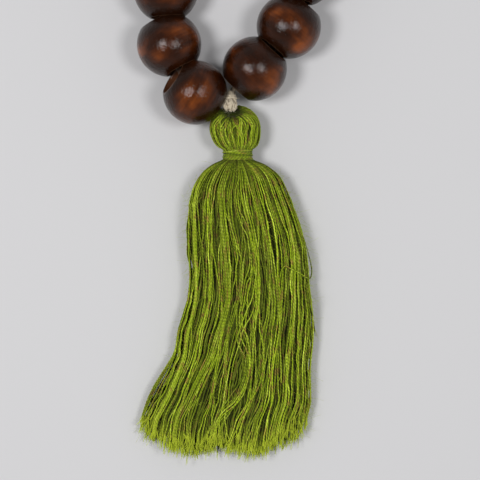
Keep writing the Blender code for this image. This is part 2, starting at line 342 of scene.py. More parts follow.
def make_wood():
    """Walnut stain over turned wood: patchy, darkest round the mouths, and lighter at the mouths'
    edges, partly wear and partly a painted highlight.
    """
    material, shader = new_material("stained_wood", (0.06, 0.018, 0.007), WOOD_ROUGHNESS)
    tree = material.node_tree
    place = tree.nodes.new("ShaderNodeTexCoord").outputs["Object"]
    tone = add_math(tree, "MULTIPLY", add_attribute(tree, "tone"), 37.0)
    split = tree.nodes.new("ShaderNodeSeparateXYZ")
    tree.links.new(place, split.inputs[0])
    height = add_math(tree, "ABSOLUTE", split.outputs["Z"], 0.0)
    latitude = add_math(tree, "POWER", add_math(tree, "MULTIPLY", height, 1 / BEAD_RADIUS), 1.7)
    clouds = add_noise(tree, scaled_vector(tree, place, (75, 75, 105), tone), 2.0)
    bands = add_noise(tree, scaled_vector(tree, place, (60, 60, 700), tone), 3.0)
    mottle = add_noise(tree, scaled_vector(tree, place, (420, 420, 420), tone), 3.0, 1.0, 0.6)
    stain = add_math(tree, "ADD", add_math(tree, "MULTIPLY", latitude, 0.50), 0.03)
    for pattern, weight in ((clouds, 1.00), (bands, 0.24), (mottle, 0.14)):
        stain = add_math(tree, "ADD", stain, add_math(tree, "MULTIPLY", pattern, weight))
    stops = [
        (0.50, (0.225, 0.052, 0.0060)),
        (0.61, (0.130, 0.030, 0.0042)),
        (0.72, (0.062, 0.0140, 0.0022)),
        (0.84, (0.029, 0.0066, 0.0012)),
        (1.00, (0.015, 0.0040, 0.0010)),
    ]
    stain_and_painted_shade = add_ramp(tree, stain, stops)
    # A lighter rim at each mouth: partly stain worn off, partly a painted highlight where the
    # chamfer's edge catches the light.
    past_mouth = add_math(tree, "SUBTRACT", height, MOUTH_HEIGHT)
    edge = add_clamp(tree, add_math(tree, "MULTIPLY", past_mouth, 9000.0), 1.0)
    rim_wear_and_highlight = add_math(tree, "MULTIPLY", edge, add_math(tree, "ADD", mottle, -0.05))
    worn_and_highlit_rim = add_mix(tree, rim_wear_and_highlight, stain_and_painted_shade, (0.20, 0.105, 0.062))
    across = add_math(tree, "POWER", split.outputs["X"], 2.0)
    across = add_math(tree, "ADD", across, add_math(tree, "POWER", split.outputs["Y"], 2.0))
    bore = add_math(tree, "SUBTRACT", (BORE_RADIUS + 0.0003) ** 2, across)
    bore = add_clamp(tree, add_math(tree, "MULTIPLY", bore, 3e5), 0.85)
    result = add_mix(tree, bore, worn_and_highlit_rim, (0.13, 0.048, 0.022))
    tree.links.new(result, shader.inputs["Base Color"])
    pores = add_noise(tree, scaled_vector(tree, place, (1000, 1000, 800), tone), 3.0, 1.0, 0.6)
    bump = add_node(tree, "ShaderNodeBump", Strength=1.0, Distance=0.00021)
    tree.links.new(pores, bump.inputs["Height"])
    tree.links.new(bump.outputs["Normal"], shader.inputs["Normal"])
    shader.inputs["Specular IOR Level"].default_value = 0.29
    return material


def make_cotton():
    """Undyed cotton, painted dark brown where its tip attribute is above 0: painted shade on the
    cord between the beads.
    """
    material, shader = new_material("natural_cotton", (0.56, 0.49, 0.38), 0.9)
    tree = material.node_tree
    place = tree.nodes.new("ShaderNodeTexCoord").outputs["Object"]
    fibre = add_noise(tree, scaled_vector(tree, place, (1500, 1500, 1500)), 3.0)
    stops = [(0.25, (0.36, 0.29, 0.20)), (0.5, (0.57, 0.49, 0.36)), (0.75, (0.74, 0.66, 0.51))]
    unshaded_cotton = add_ramp(tree, fibre, stops)
    # Painted shade: dark brown where the tip attribute is set, along the cord between the beads.
    stain_and_painted_shade = add_mix(tree, add_attribute(tree, "tip"), unshaded_cotton, (0.055, 0.026, 0.013))
    tree.links.new(stain_and_painted_shade, shader.inputs["Base Color"])
    shader.inputs["Sheen Weight"].default_value = 0.12
    return material


def make_yarn(name, lightness):
    """Olive-lime yarn, reddish along some lengths, and yellower where its end has come loose."""
    material, shader = new_material(name, (0.25, 0.32, 0.02), 0.8)
    tree = material.node_tree
    tone = add_math(tree, "MULTIPLY", add_attribute(tree, "tone"), 211.0)
    along = add_math(tree, "MULTIPLY", add_attribute(tree, "along"), 1 / MM)
    position = tree.nodes.new("ShaderNodeCombineXYZ")
    tree.links.new(tone, position.inputs["X"])
    tree.links.new(along, position.inputs["Y"])
    fine = add_noise(tree, scaled_vector(tree, position.outputs[0], (1.0, 0.7, 1.0)), 3.0)
    slow = add_noise(tree, scaled_vector(tree, position.outputs[0], (1.7, 0.06, 1.0)), 2.0)
    fine, slow = (add_math(tree, "MULTIPLY", *pair) for pair in ((fine, 0.5), (slow, 0.6)))
    mixed = add_math(tree, "ADD", fine, slow)
    stops = [
        (0.34, tinted((0.150, 0.240, 0.004), lightness)),
        (0.54, tinted((0.340, 0.455, 0.014), lightness)),
        (0.76, tinted((0.680, 0.820, 0.090), lightness)),
    ]
    green = add_ramp(tree, mixed, stops)
    rusty = add_noise(tree, scaled_vector(tree, position.outputs[0], (3.1, 0.22, 1.0)), 3.0)
    amount = add_math(tree, "MULTIPLY", add_math(tree, "SUBTRACT", rusty, 0.545), 8.0)
    rust = tinted((0.34, 0.195, 0.045), lightness)
    brown = add_mix(tree, add_clamp(tree, amount, 0.78), green, rust)
    tip = add_attribute(tree, "tip")
    dyed = add_mix(tree, tip, brown, (0.58, 0.68, 0.043))
    shade = add_attribute(tree, "shade")
    black = add_mix(tree, shade, dyed, (0.0, 0.0, 0.0), flip=True)
    tree.links.new(black, shader.inputs["Base Color"])
    shader.inputs["Sheen Weight"].default_value = 0.06
    shader.inputs["Specular IOR Level"].default_value = 0.12
    return material


def tinted(colour, lightness):
    return tuple(channel * lightness for channel in colour)


def add_clamp(tree, value, most):
    node = add_node(tree, "ShaderNodeClamp", Min=0.0, Max=most)
    tree.links.new(value, node.inputs["Value"])
    return node.outputs[0]


def add_mix(tree, factor, colour, other, flip=False):
    """colour turning to the constant other as factor goes from 0 to 1, or 1 to 0 if flipped."""
    node = tree.nodes.new("ShaderNodeMix")
    node.data_type = "RGBA"
    first, second = (socket for socket in node.inputs if socket.type == "RGBA")
    if flip:
        first, second = second, first
    tree.links.new(factor, node.inputs[0])
    tree.links.new(colour, first)
    second.default_value = (*other, 1.0)
    return next(socket for socket in node.outputs if socket.type == "RGBA")


# ---------------------------------------------------------------- strands


class Strands:
    """Collects swept strands, and makes one object of them."""

    def __init__(self):
        self.points, self.faces, self.sizes, self.count = [], [], [], 0
        self.values = {"along": [], "tone": [], "shade": [], "tip": []}

    def add(self, grid, along, tone=None, shade=1.0, tip=0.0):
        """grid is rings of points, (rings, sides, 3), and both ends are capped.

        shade and tip are one value, or one for each ring, or one for each point.
        """
        rings, sides, _ = grid.shape
        index = self.count + np.arange(rings * sides).reshape(rings, sides)
        beside = np.roll(index, -1, axis=1)
        quads = np.stack([index[:-1], index[1:], beside[1:], beside[:-1]], axis=-1)
        self.faces += [quads.reshape(-1), index[0], index[-1][::-1]]
        self.sizes += [np.full((rings - 1) * sides, 4), [sides, sides]]
        self.points.append(grid.reshape(-1, 3))
        tone = rng.uniform() if tone is None else tone
        for key, value in (("along", along), ("tone", tone), ("shade", shade), ("tip", tip)):
            value = np.asarray(value, float)
            value = value[:, None] if value.ndim == 1 else value
            self.values[key].append(np.broadcast_to(value, (rings, sides)).reshape(-1))
        self.count += rings * sides

    def build(self, name, material):
        mesh = bpy.data.meshes.new(name)
        loops, sizes = np.concatenate(self.faces), np.concatenate(self.sizes)
        mesh.vertices.add(self.count)
        mesh.vertices.foreach_set("co", np.concatenate(self.points).astype(np.float32).ravel())
        mesh.loops.add(len(loops))
        mesh.loops.foreach_set("vertex_index", loops.astype(np.int32))
        mesh.polygons.add(len(sizes))
        starts = np.concatenate([[0], np.cumsum(sizes)[:-1]])
        mesh.polygons.foreach_set("loop_start", starts.astype(np.int32))
        mesh.update(calc_edges=True)
        mesh.shade_smooth()
        for key, values in self.values.items():
            attribute = mesh.attributes.new(key, "FLOAT", "POINT")
            attribute.data.foreach_set("value", np.concatenate(values).astype(np.float32))
        return add_object(name, mesh, material)


def add_object(name, mesh, material):
    mesh.materials.append(material)
    obj = bpy.data.objects.new(name, mesh)
    bpy.context.scene.collection.objects.link(obj)
    return obj


def lengths_along(path):
    return np.concatenate([[0.0], np.cumsum(np.linalg.norm(np.diff(path, axis=0), axis=1))])


def resample(path, step):
    """The path again, as points an equal length apart."""
    along = lengths_along(path)
    wanted = np.linspace(0, along[-1], max(3, int(along[-1] / step) + 1))
    return np.stack([np.interp(wanted, along, path[:, axis]) for axis in range(3)], axis=1)


def smooth_curve(points, samples=12):
    """A Catmull-Rom curve through the points."""
    points = np.asarray(points, float)
    ends = np.vstack([2 * points[0] - points[1], points, 2 * points[-1] - points[-2]])
    a, b, c, d = (ends[i : len(ends) - 3 + i, None, :] for i in range(4))
    t = np.linspace(0, 1, samples, endpoint=False)[None, :, None]
    squared, cubed = 2 * a - 5 * b + 4 * c - d, 3 * b - a - 3 * c + d
    curve = 2 * b + (c - a) * t + squared * t**2 + cubed * t**3
    return np.vstack([0.5 * curve.reshape(-1, 3), points[-1:]])


def unit(vectors):
    return vectors / np.maximum(np.linalg.norm(vectors, axis=-1, keepdims=True), 1e-12)


def sweep(path, across, radius, sides=YARN_SIDES, lobes=2, depth=PLY_DEPTH, pitch=PLY_PITCH):
    """A strand of twisted plies along the path, which never runs along across.

    Returns its rings of points, the way each faces, the ply's crest or groove there, and lengths.
    """
    along = lengths_along(path)
    tangent = unit(np.gradient(path, axis=0))
    side = unit(np.cross(tangent, across))
    up = np.cross(side, tangent)
    angle = TURN * (np.arange(sides) + 0.5) / sides
    crest = np.cos(lobes * (angle[None, :] - TURN * along[:, None] / pitch + rng.uniform(0, TURN)))
    cos, sin = np.cos(angle)[None, :, None], np.sin(angle)[None, :, None]
    facing = side[:, None, :] * cos + up[:, None, :] * sin
    reach = np.broadcast_to(radius, along.shape)[:, None] * (1 + depth * crest)
    return path[:, None, :] + facing * reach[..., None], facing, crest, along


def add_yarn(strands, path, across, radius, outward, shade, tip=0.0, plied=True):
    """A yarn that is darker on its flanks and between its plies, where less light gets in."""
    depth, sides = (PLY_DEPTH, YARN_SIDES) if plied else (0.0, YARN_SIDES - 1)
    grid, facing, crest, along = sweep(path, across, radius, sides=sides, depth=depth)
    open_to_light = np.sum(facing * outward[:, None, :], axis=2)
    flank = np.clip((open_to_light + 0.10) / 1.10, 0, 1) ** FLANK_FALL
    shade = np.broadcast_to(shade, along.shape)[:, None] * (FLANK_SHADE + (1 - FLANK_SHADE) * flank)
    if plied:
        shade = shade * (1 + PLY_SHADE * crest)
    strands.add(grid, along, None, shade, tip)


# ---------------------------------------------------------------- beads and discs


def turned_grid(outline, steps):
    """A closed outline of (radius, height), turned round Z: (outline, steps, 3)."""
    radius, height = np.array(outline).T
    angle = TURN * np.arange(steps) / steps
    ring = np.stack([np.cos(angle), np.sin(angle), np.zeros(steps)], axis=1)
    return radius[:, None, None] * ring + height[:, None, None] * np.array((0, 0, 1.0))


def turned_object(name, outline, material, tone):
    grid = turned_grid(outline, BEAD_STEPS)
    rows, steps, _ = grid.shape
    index = np.arange(rows * steps).reshape(rows, steps)
    below, beside = np.roll(index, -1, axis=0), np.roll(index, -1, axis=1)
    quads = np.stack([index, below, np.roll(below, -1, axis=1), beside], axis=-1).reshape(-1, 4)
    mesh = bpy.data.meshes.new(name)
    mesh.from_pydata(grid.reshape(-1, 3).tolist(), [], quads.tolist())
    mesh.shade_smooth()
    attribute = mesh.attributes.new("tone", "FLOAT", "POINT")
    attribute.data.foreach_set("value", np.full(rows * steps, tone, np.float32))
    return add_object(name, mesh, material)


def eased_corner(start, corner, end, steps=6):
    """Points round a corner, without its two ends."""
    t = np.linspace(0, 1, steps + 2)[1:-1, None]
    start, corner, end = map(np.array, (start, corner, end))
    return ((1 - t) ** 2 * start + 2 * t * (1 - t) * corner + t**2 * end).tolist()


def bead_outline():
    rim = math.sqrt(BEAD_RADIUS**2 - MOUTH_RADIUS**2)
    inside = (BORE_RADIUS, rim - 0.0009)
    lip = (BORE_RADIUS + 0.00012, rim + 0.00022)
    widest = math.acos(MOUTH_RADIUS / BEAD_RADIUS)
    angles = np.linspace(widest, -widest, 45)
    outer = [(BEAD_RADIUS * math.cos(a), BEAD_RADIUS * math.sin(a)) for a in angles]
    corner = eased_corner(outer[-1], (lip[0], -lip[1]), (inside[0], -inside[1]))
    wall = [(BORE_RADIUS, height) for height in np.linspace(-inside[1], inside[1], 9)]
    return [*outer, *corner, *wall, *eased_corner(inside, lip, outer[0])]


def disc_outline():
    angles = np.radians(np.linspace(90, -90, 21))
    flat = DISC_RADIUS - DISC_HALF
    edge = [(flat + DISC_HALF * math.cos(a), DISC_HALF * math.sin(a)) for a in angles]
    low, high = (DISC_BORE, -DISC_HALF * 0.8), (DISC_BORE, DISC_HALF * 0.8)
    corner_low = eased_corner((DISC_BORE + 0.0006, -DISC_HALF), (DISC_BORE, -DISC_HALF), low)
    corner_high = eased_corner(high, (DISC_BORE, DISC_HALF), (DISC_BORE + 0.0006, DISC_HALF))
    return [*edge, *corner_low, low, high, *corner_high]


def place_on_axis(obj, node, axis):
    low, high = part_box(node)
    obj.location = (low + high) / 2
    obj.rotation_mode = "QUATERNION"
    obj.rotation_quaternion = Vector(axis).to_track_quat("Z", "Y")


def make_beads(wood):
    bead, disc = bead_outline(), disc_outline()
    for joint in frame["joints"]:
        body = joint["child"]
        node = body.removesuffix("_body")
        if node == body:
            continue
        outline = disc if node.startswith("marker") else bead
        obj = turned_object(f"{node}_turned", outline, wood, rng.uniform())
        place_on_axis(obj, node, joint["axis"])
        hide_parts(node)
        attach(obj, body)


# ---------------------------------------------------------------- cotton cord and knot


def make_cord(cotton):
    points = [*ROUTE_INTO_KNOT, *ROUTE, *ROUTE_OUT_OF_KNOT]
    path = resample(smooth_curve(KNOT + np.array(points)), CORD_STEP)
    strands = Strands()
    grid, _, _, along = sweep(
        path, (0.0, 0.0, 1.0), CORD_RADIUS * 0.88, sides=12, lobes=3, depth=0.16, pitch=0.0075
    )
    from_knot = np.linalg.norm(path - KNOT, axis=1)
    from_gap = np.linalg.norm(path - KNOT - ROUTE[SLACK], axis=1)
    near_knot = np.exp(-((from_knot / UNSHADED_AT_KNOT) ** 4))
    near_gap = np.exp(-((from_gap / UNSHADED_AT_GAP) ** 12))
    # The tip attribute carries painted shade: the cord turns dark brown between the beads, but not
    # near the knot or in the slack gap.
    strands.add(grid, along, None, 1.0, 1 - np.maximum(near_knot, near_gap))
    obj = strands.build("cotton_cord", cotton)
    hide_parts("stringing_cord")
    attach(obj, "cord")


def make_knot(cotton):
    """The tied ends: plies that meet at the top, swell over the knot, and are trimmed ragged."""
    strands = Strands()
    down = unit(TIE_FOOT - TIE_TOP)
    right = unit(np.cross(down, (0.0, 0.0, 1.0)))
    over = np.cross(right, down)
    length = np.linalg.norm(TIE_FOOT - TIE_TOP)
    share = np.array((0.0, 0.15, 0.35, 0.6, 0.8, 0.93, 1.0))
    width = np.array((0.75, 1.05, 1.65, 2.25, 2.40, 1.95, 1.30)) * MM
    for layer, count in ((0.35, 6), (0.7, 13), (1.0, 21)):
        for k in range(count):
            turn = TURN * (k + rng.uniform(-0.35, 0.35)) / count
            last = rng.uniform(0.86, 1.04)
            s = np.linspace(0, last, 16)
            angle = turn + 1.7 * s + 0.22 * np.sin(s * rng.uniform(5, 9) + rng.uniform(0, TURN))
            uneven = 1 + 0.10 * np.sin(s * 9 + rng.uniform(0, TURN))
            reach = layer * np.interp(s, share, width) * uneven
            across = right * np.cos(angle)[:, None] + over * np.sin(angle)[:, None] * 0.85
            path = TIE_TOP + down * (s * length)[:, None] + across * reach[:, None]
            path = resample(path, KNOT_STEP)
            grid, _, _, along = sweep(
                path, (0.3, 0.1, 1.0), 0.00037, sides=8, depth=0.18, pitch=0.0018
            )
            strands.add(grid, along)
    for lift in (0.28, 0.40):
        t = np.linspace(0, TURN * 1.15, 60)
        middle = TIE_TOP + down * (length * lift)
        reach = np.interp(lift, share, width) + 0.00025
        circle = right * np.cos(t)[:, None] + over * np.sin(t)[:, None] * 0.85
        path = middle + circle * reach + down * (0.00055 * np.sin(t + 1.0))[:, None]
        grid, _, _, along = sweep(
            resample(path, KNOT_STEP), down, 0.00052, sides=10, lobes=3, pitch=0.003
        )
        strands.add(grid, along)
    spine = TIE_TOP + down * np.linspace(0, length, 30)[:, None]
    add_hairs(strands, spine, 170, 0.0016, 0.0015)
    obj = strands.build("cotton_knot", cotton)
    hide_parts("hanging_knot")
    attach(obj, "cord")


def add_hairs(strands, path, count, length, reach):
    """Fine loose fibres that stand off a strand."""
    for _ in range(count):
        root = path[rng.integers(len(path))]
        away = unit(rng.normal(size=3))
        bend = unit(rng.normal(size=3))
        s = np.linspace(0, 1, 5)[:, None]
        size = length * rng.uniform(0.5, 1.3)
        hair = root + away * (reach + size * s) + bend * size * 0.5 * s**2
        add_fibre(strands, hair, np.cross(away, bend), HAIR_RADIUS)


def add_fibre(strands, path, across, radius, shade=1.0, tip=0.0):
    path[:, 2] = np.maximum(path[:, 2], 0.0001)
    grid, _, _, along = sweep(path, across, radius, sides=3, depth=0.0)
    strands.add(grid, along, None, shade, tip)


# ---------------------------------------------------------------- tassel head and neck


def turned_about(points, angle, first, second):
    """The points with their first axis turned towards the second, by one angle for each point."""
    result = points.copy()
    cos, sin = np.cos(angle), np.sin(angle)
    result[:, first] = points[:, first] * cos - points[:, second] * sin
    result[:, second] = points[:, first] * sin + points[:, second] * cos
    return result


def make_head(yarn, dark):
    """The folded yarns, laid over the ball from the eye, where the knot goes in, to the neck."""
    strands = Strands()
    for layer, count, shade in HEAD_LAYERS:
        for k in range(count):
            add_head_yarn(strands, layer, TURN * (k + rng.uniform(-0.5, 0.5)) / count, shade)
    obj = strands.build("head_yarns", yarn)
    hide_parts("tassel_head")
    blend_head(obj)
    core = Strands()
    polar = np.radians(np.linspace(14, 158, 24))
    ring = TURN * np.arange(40) / 40
    level = [
        np.outer(np.sin(polar), np.cos(ring)),
        np.outer(np.cos(polar), np.ones(40)),
        np.outer(np.sin(polar), np.sin(ring)),
    ]
    grid = HEAD_CENTRE + np.stack(level, axis=-1) * HEAD_SEMI * 0.86
    # Painted shade: the core is painted near black (shade 0.08) for the shade inside the ball.
    core.add(grid, np.linspace(0, 0.02, 24), 0.5, 0.08)
    obj = core.build("head_core", dark)
    blend_head(obj)


def blend_head(obj):
    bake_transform(obj)


def add_head_yarn(strands, layer, meridian, shade):
    """One yarn from the eye to the neck, down a wandering meridian of the ball."""
    polar = np.radians(np.linspace(5, 150, 60))
    lean = rng.normal(0, 0.20) * (polar - polar.mean()) * np.sin(polar)
    turn = meridian + lean + 0.030 * np.sin(polar * rng.uniform(2, 7) + rng.uniform(0, TURN))
    sunk = 0.035 * rng.uniform() ** 1.3
    size = layer - sunk + 0.006 * np.sin(polar * rng.uniform(3, 7) + rng.uniform(0, TURN))
    size = size * (1 - 0.30 * np.exp(-((polar / math.radians(20)) ** 2)))
    size = size * (1 + 0.075 * np.exp(-(((polar - math.radians(132)) / math.radians(20)) ** 2)))
    out = np.sin(polar)
    ball = np.stack([out * np.cos(turn), np.cos(polar), out * np.sin(turn)], axis=1)
    upright = 1 - np.clip(polar / math.radians(115), 0, 1)
    upright = upright**2 * (3 - 2 * upright)
    ball = turned_about(ball, EYE_RISE * upright, 1, 2)
    ball = turned_about(ball, EYE_TURN * upright, 0, 1)
    path = HEAD_CENTRE + ball * (HEAD_SEMI - YARN_RADIUS) * size[:, None]
    path[:, 0] += (NECK_X - HEAD_X) * np.clip((polar - 1.7) / 0.9, 0, 1)
    axis = KNOT + (NECK_X, 0.0, AXIS_HEIGHT)
    inward = (path[-1] - axis) * (1, 0, 1)
    inward *= min(1.0, 0.0052 / np.linalg.norm(inward))
    tuck = [axis + inward + (0, -NECK_TOP - drop, 0) for drop in (0.0007, 0.0017)]
    plied = layer == HEAD_LAYERS[-1][0]
    path = resample(smooth_curve([*path[::3], *tuck], 8), YARN_STEP if plied else COARSE_STEP)
    hollow = np.interp(lengths_along(path), [0, 0.0034, 0.0070], [0.05, 0.22, 1.0])
    outward = unit((path - HEAD_CENTRE) / HEAD_SEMI**2)
    across = np.array((-math.sin(meridian), 0.02, math.cos(meridian)))
    shade = shade * hollow * rng.uniform(0.70, 1.45) * (1 - 13 * sunk)
    radius = YARN_RADIUS * rng.uniform(0.68, 0.88)
    add_yarn(strands, path, across, radius, outward, shade, 0.0, plied)


def make_neck(yarn, dark):
    """Turns of yarn round the gathered ones."""
    binding = Strands()
    centre = KNOT + (NECK_X, -NECK_TOP - NECK_LENGTH / 2 + 0.0003, AXIS_HEIGHT)
    for layer, turns, slope in BINDING_LAYERS:
        t = np.linspace(0, TURN * turns, int(turns * 90))
        share = t / t[-1] - 0.5
        radius = NECK_RADIUS - 0.00104 + 0.00036 * layer + 0.00007 * np.sin(t * 0.37 + layer)
        slide = 0.00013 * np.sin(t * 0.61 + 2 * layer) + 0.00008 * np.sin(t * 1.7)
        y = slope * share * (NECK_LENGTH - 0.0002) + slide
        round_neck = np.stack([np.cos(t), np.zeros_like(t), np.sin(t)], axis=1)
        path = resample(centre + round_neck * radius[:, None] + (0, 1, 0) * y[:, None], YARN_STEP)
        outward = unit((path - centre) * (1, 0, 1))
        # Painted shade: the turns underneath are darker (0.55) than those on top (0.82).
        add_yarn(binding, path, (0.0, 1.0, 0.0), YARN_RADIUS * 0.95, outward, 0.55 + 0.30 * layer)
    obj = binding.build("binding_yarn_turns", yarn)
    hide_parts("neck_binding")
    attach(obj, "neck")
    gathered = Strands()
    for _ in range(NECK_YARNS):
        reach, turn = 0.0049 * math.sqrt(rng.uniform()), rng.uniform(0, TURN)
        offset = np.array((reach * math.cos(turn), 0.0, reach * math.sin(turn)))
        path = centre + offset + (0, 1, 0) * np.linspace(-0.0022, 0.0022, 8)[:, None]
        grid, _, _, along = sweep(path, (0.0, 0.0, 1.0), YARN_RADIUS)
        # Painted shade: the gathered yarns inside the binding are painted at half their colour.
        gathered.add(grid, along, None, 0.5)
    obj = gathered.build("neck_yarns", dark)
    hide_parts("neck_core")
    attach(obj, "neck")


# ---------------------------------------------------------------- skirt

GRID = np.arange(-0.004, 0.1220, 0.0004)


def smoothed_rows():
    rows = np.array(SKIRT_ROWS)
    window = np.hanning(7)
    window /= window.sum()
    columns = []
    for column in rows.T[1:]:
        values = np.pad(np.interp(GRID, rows[:, 0], column), 3, mode="edge")
        columns.append(np.convolve(values, window, mode="valid"))
    return columns


SKIRT_COLUMNS = smoothed_rows()


def section_at(distance):
    """The skirt's left and right edges, underside and thickness at each distance below its top."""
    return (np.interp(distance, GRID, column) for column in SKIRT_COLUMNS)


def signed_power(value, power):
    return np.sign(value) * np.abs(value) ** power


def in_section(distance, turn, reach):
    """Points in the skirt's section at each distance: turn goes round it, reach is 1 at its edge."""
    left, right, under, thick = section_at(distance)
    fullness = FULLNESS + (1 - FULLNESS) * np.exp(-np.maximum(distance, 0) / 0.006)
    half = (right - left) / 2 - YARN_RADIUS
    x = (left + right) / 2 + half * reach * signed_power(np.cos(turn), fullness)
    height = 0.5 + 0.5 * reach * signed_power(np.sin(turn), fullness)
    flat = SKIRT_FLATTENING * np.clip(distance / 0.006, 0, 1)
    height = (np.maximum(height, flat) - flat) / (1 - flat)
    z = under + YARN_RADIUS + (thick - 2 * YARN_RADIUS) * height
    return np.stack([KNOT[0] + x, KNOT[1] - SKIRT_TOP - distance, z], axis=1)


def skirt_outward(path):
    """The way out of the skirt at each point of the path."""
    left, right, under, thick = section_at(KNOT[1] - SKIRT_TOP - path[:, 1])
    x = (path[:, 0] - KNOT[0] - (left + right) / 2) / ((right - left) / 2) ** 2
    z = (path[:, 2] - under - thick / 2) / (thick / 2) ** 2
    return unit(unit(np.stack([x, np.zeros_like(x), z], axis=1)) + (0, 0, 0.45))


def even_turns(count):
    """Turns that are evenly spaced round the skirt's edge at its middle."""
    fine = np.linspace(0, TURN, 2000)
    edge = in_section(np.full(2000, 0.045), fine, np.ones(2000))
    along = lengths_along(edge)
    return np.interp((np.arange(count) + 0.5) / count * along[-1], along, fine)


def end_distance(turn, reach):
    """How far down a yarn ends: the ones at the sides end sooner, because they fan out."""
    across = abs(reach * signed_power(math.cos(turn), FULLNESS))
    uneven = 0.0016 * math.sin(6 * turn + 0.8) + 0.0011 * math.sin(17 * turn + 2.1)
    return SKIRT_END - SKIRT_CORNER_RISE * across**3.2 + uneven + rng.normal(0, 0.0011)


def slow_wave(distance, shortest, longest):
    """A smooth wandering between about -1 and 1."""
    waves = 0.0
    for weight in (0.6, 0.4):
        length = rng.uniform(shortest, longest)
        waves = waves + weight * np.sin(TURN * distance / length + rng.uniform(0, TURN))
    return waves


def make_locks(count, wander, gather, swell):
    """Each lock of yarns: its turn, and how it wanders, gathers and swells down the skirt."""
    eased = np.clip(GRID / 0.030, 0, 1)
    locks = []
    eased_pull = np.clip(GRID / 0.008, 0, 1)
    spread_low_down = 1 - 0.5 * np.clip((GRID - 0.045) / 0.035, 0, 1)
    gather_at_end = 0.6 * gather * np.clip((GRID - 0.096) / 0.014, 0, 1)
    for turn in even_turns(count):
        sideways = wander * slow_wave(GRID, 0.040, 0.10) * eased
        pull = gather * np.clip(0.5 + 0.8 * slow_wave(GRID, 0.030, 0.07), 0, 1.3)
        pull = pull * eased_pull * spread_low_down + gather_at_end
        out = swell * slow_wave(GRID, 0.03, 0.08) * eased
        locks.append((turn + rng.normal(0, 1.4 / count), sideways, pull, out))
    return locks


def follow_lock(turn, locks, distance):
    """(change of turn, change of reach) of a yarn that starts at turn and goes with its lock."""
    asides = [(turn - lock[0] + math.pi) % TURN - math.pi for lock in locks]
    nearest = int(np.argmin(np.abs(asides)))
    aside, (_, sideways, pull, out) = asides[nearest], locks[nearest]
    edge = min(1.0, (aside * len(locks) / math.pi) ** 2)
    sideways, pull, out = (np.interp(distance, GRID, column) for column in (sideways, pull, out))
    return sideways - aside * pull, out - 0.13 * edge * pull


def skirt_path(turn, reach, all_locks):
    """(path, reach at each of its points) of one yarn, from inside the binding to its cut end."""
    distance = np.linspace(SKIRT_START, end_distance(turn, reach), SKIRT_POINTS)
    path_turn = np.full(SKIRT_POINTS, float(turn))
    path_reach = np.full(SKIRT_POINTS, float(reach))
    for locks in all_locks:
        sideways, out = follow_lock(turn, locks, distance)
        path_turn += sideways
        path_reach += out
    eased = np.clip(distance / 0.012, 0, 1)
    path_turn += 0.006 * slow_wave(distance, 0.005, 0.014) * eased
    stray = 0.045 if rng.uniform() < 0.22 else 0.020
    path_turn += stray * slow_wave(distance, 0.028, 0.060) * eased
    path_reach += 0.012 * slow_wave(distance, 0.006, 0.016) * eased
    return on_skirt(distance, path_turn, path_reach)


def on_skirt(distance, turn, reach):
    """The path at those turns and reaches, kept near the skirt and off the floor."""
    reach = np.clip(reach, 0, 1.07)
    path = in_section(distance, turn, reach)
    path[:, 2] = np.maximum(path[:, 2], YARN_RADIUS * 1.25)
    return path, reach


def crossing_lock(strands):
    """A few yarns side by side that have slipped across the others, on top of them."""
    start, length = rng.uniform(0.35, math.pi - 0.35), rng.uniform(0.045, 0.080)
    begin, across = rng.uniform(0.004, 0.060), rng.choice((-1, 1)) * rng.uniform(0.10, 0.26)
    wander, reach = 0.05, rng.uniform(0.985, 1.01)
    distance = np.linspace(SKIRT_START, end_distance(start + across, 1.0), SKIRT_POINTS)
    share = np.clip((distance - begin) / length, 0, 1)
    middle = start + across * share**2 * (3 - 2 * share) + wander * slow_wave(distance, 0.05, 0.09)
    tightness = 0.75 + 0.20 * slow_wave(distance, 0.04, 0.08)
    for aside in np.linspace(-1, 1, rng.integers(3, 7)):
        turn = middle + 0.050 * aside * tightness + 0.005 * slow_wave(distance, 0.008, 0.020)
        path, depth = on_skirt(distance, turn, np.full(SKIRT_POINTS, reach - 0.018 * aside**2))
        add_skirt_yarn(strands, path, depth, 1.0, True)


def tapered(along, radius):
    """A yarn's radius: squeezed in the binding, and thinner where its end is let go."""
    squeeze = 0.50 + 0.50 * np.clip(along / 0.026, 0, 1) ** 0.8
    release = np.clip((along[-1] - along) / 0.0030, 0, 1)
    return radius * squeeze * (0.30 + 0.70 * release)


def add_skirt_yarn(strands, path, reach, shade, plied):
    """A yarn with its frayed end."""
    radius = YARN_RADIUS * rng.uniform(0.86, 1.12)
    rough = lengths_along(path)
    path = resample(smooth_curve(path[::2], 4), YARN_STEP) if plied else resample(path, COARSE_STEP)
    along = lengths_along(path)
    sunk = np.clip(1.0 - np.interp(along, rough, reach), 0, 1)
    light = shade * rng.uniform(0.72, 1.30)
    light = light * (np.clip(1.12 - 7.5 * sunk, 0.24, 1) if plied else 1.0)
    light = light * (0.42 + 0.58 * np.clip(along / 0.017, 0, 1))
    near_end = np.clip(1 - (along[-1] - along) / 0.0130, 0, 1) ** 1.7
    light = light + (1 - light) * 0.7 * near_end
    sizes, outward = tapered(along, radius), skirt_outward(path)
    add_yarn(strands, path, (0.0, 0.0, 1.0), sizes, outward, light, 0.7 * near_end, plied)
    add_frayed_end(strands, path, radius, 4 if plied else 2)


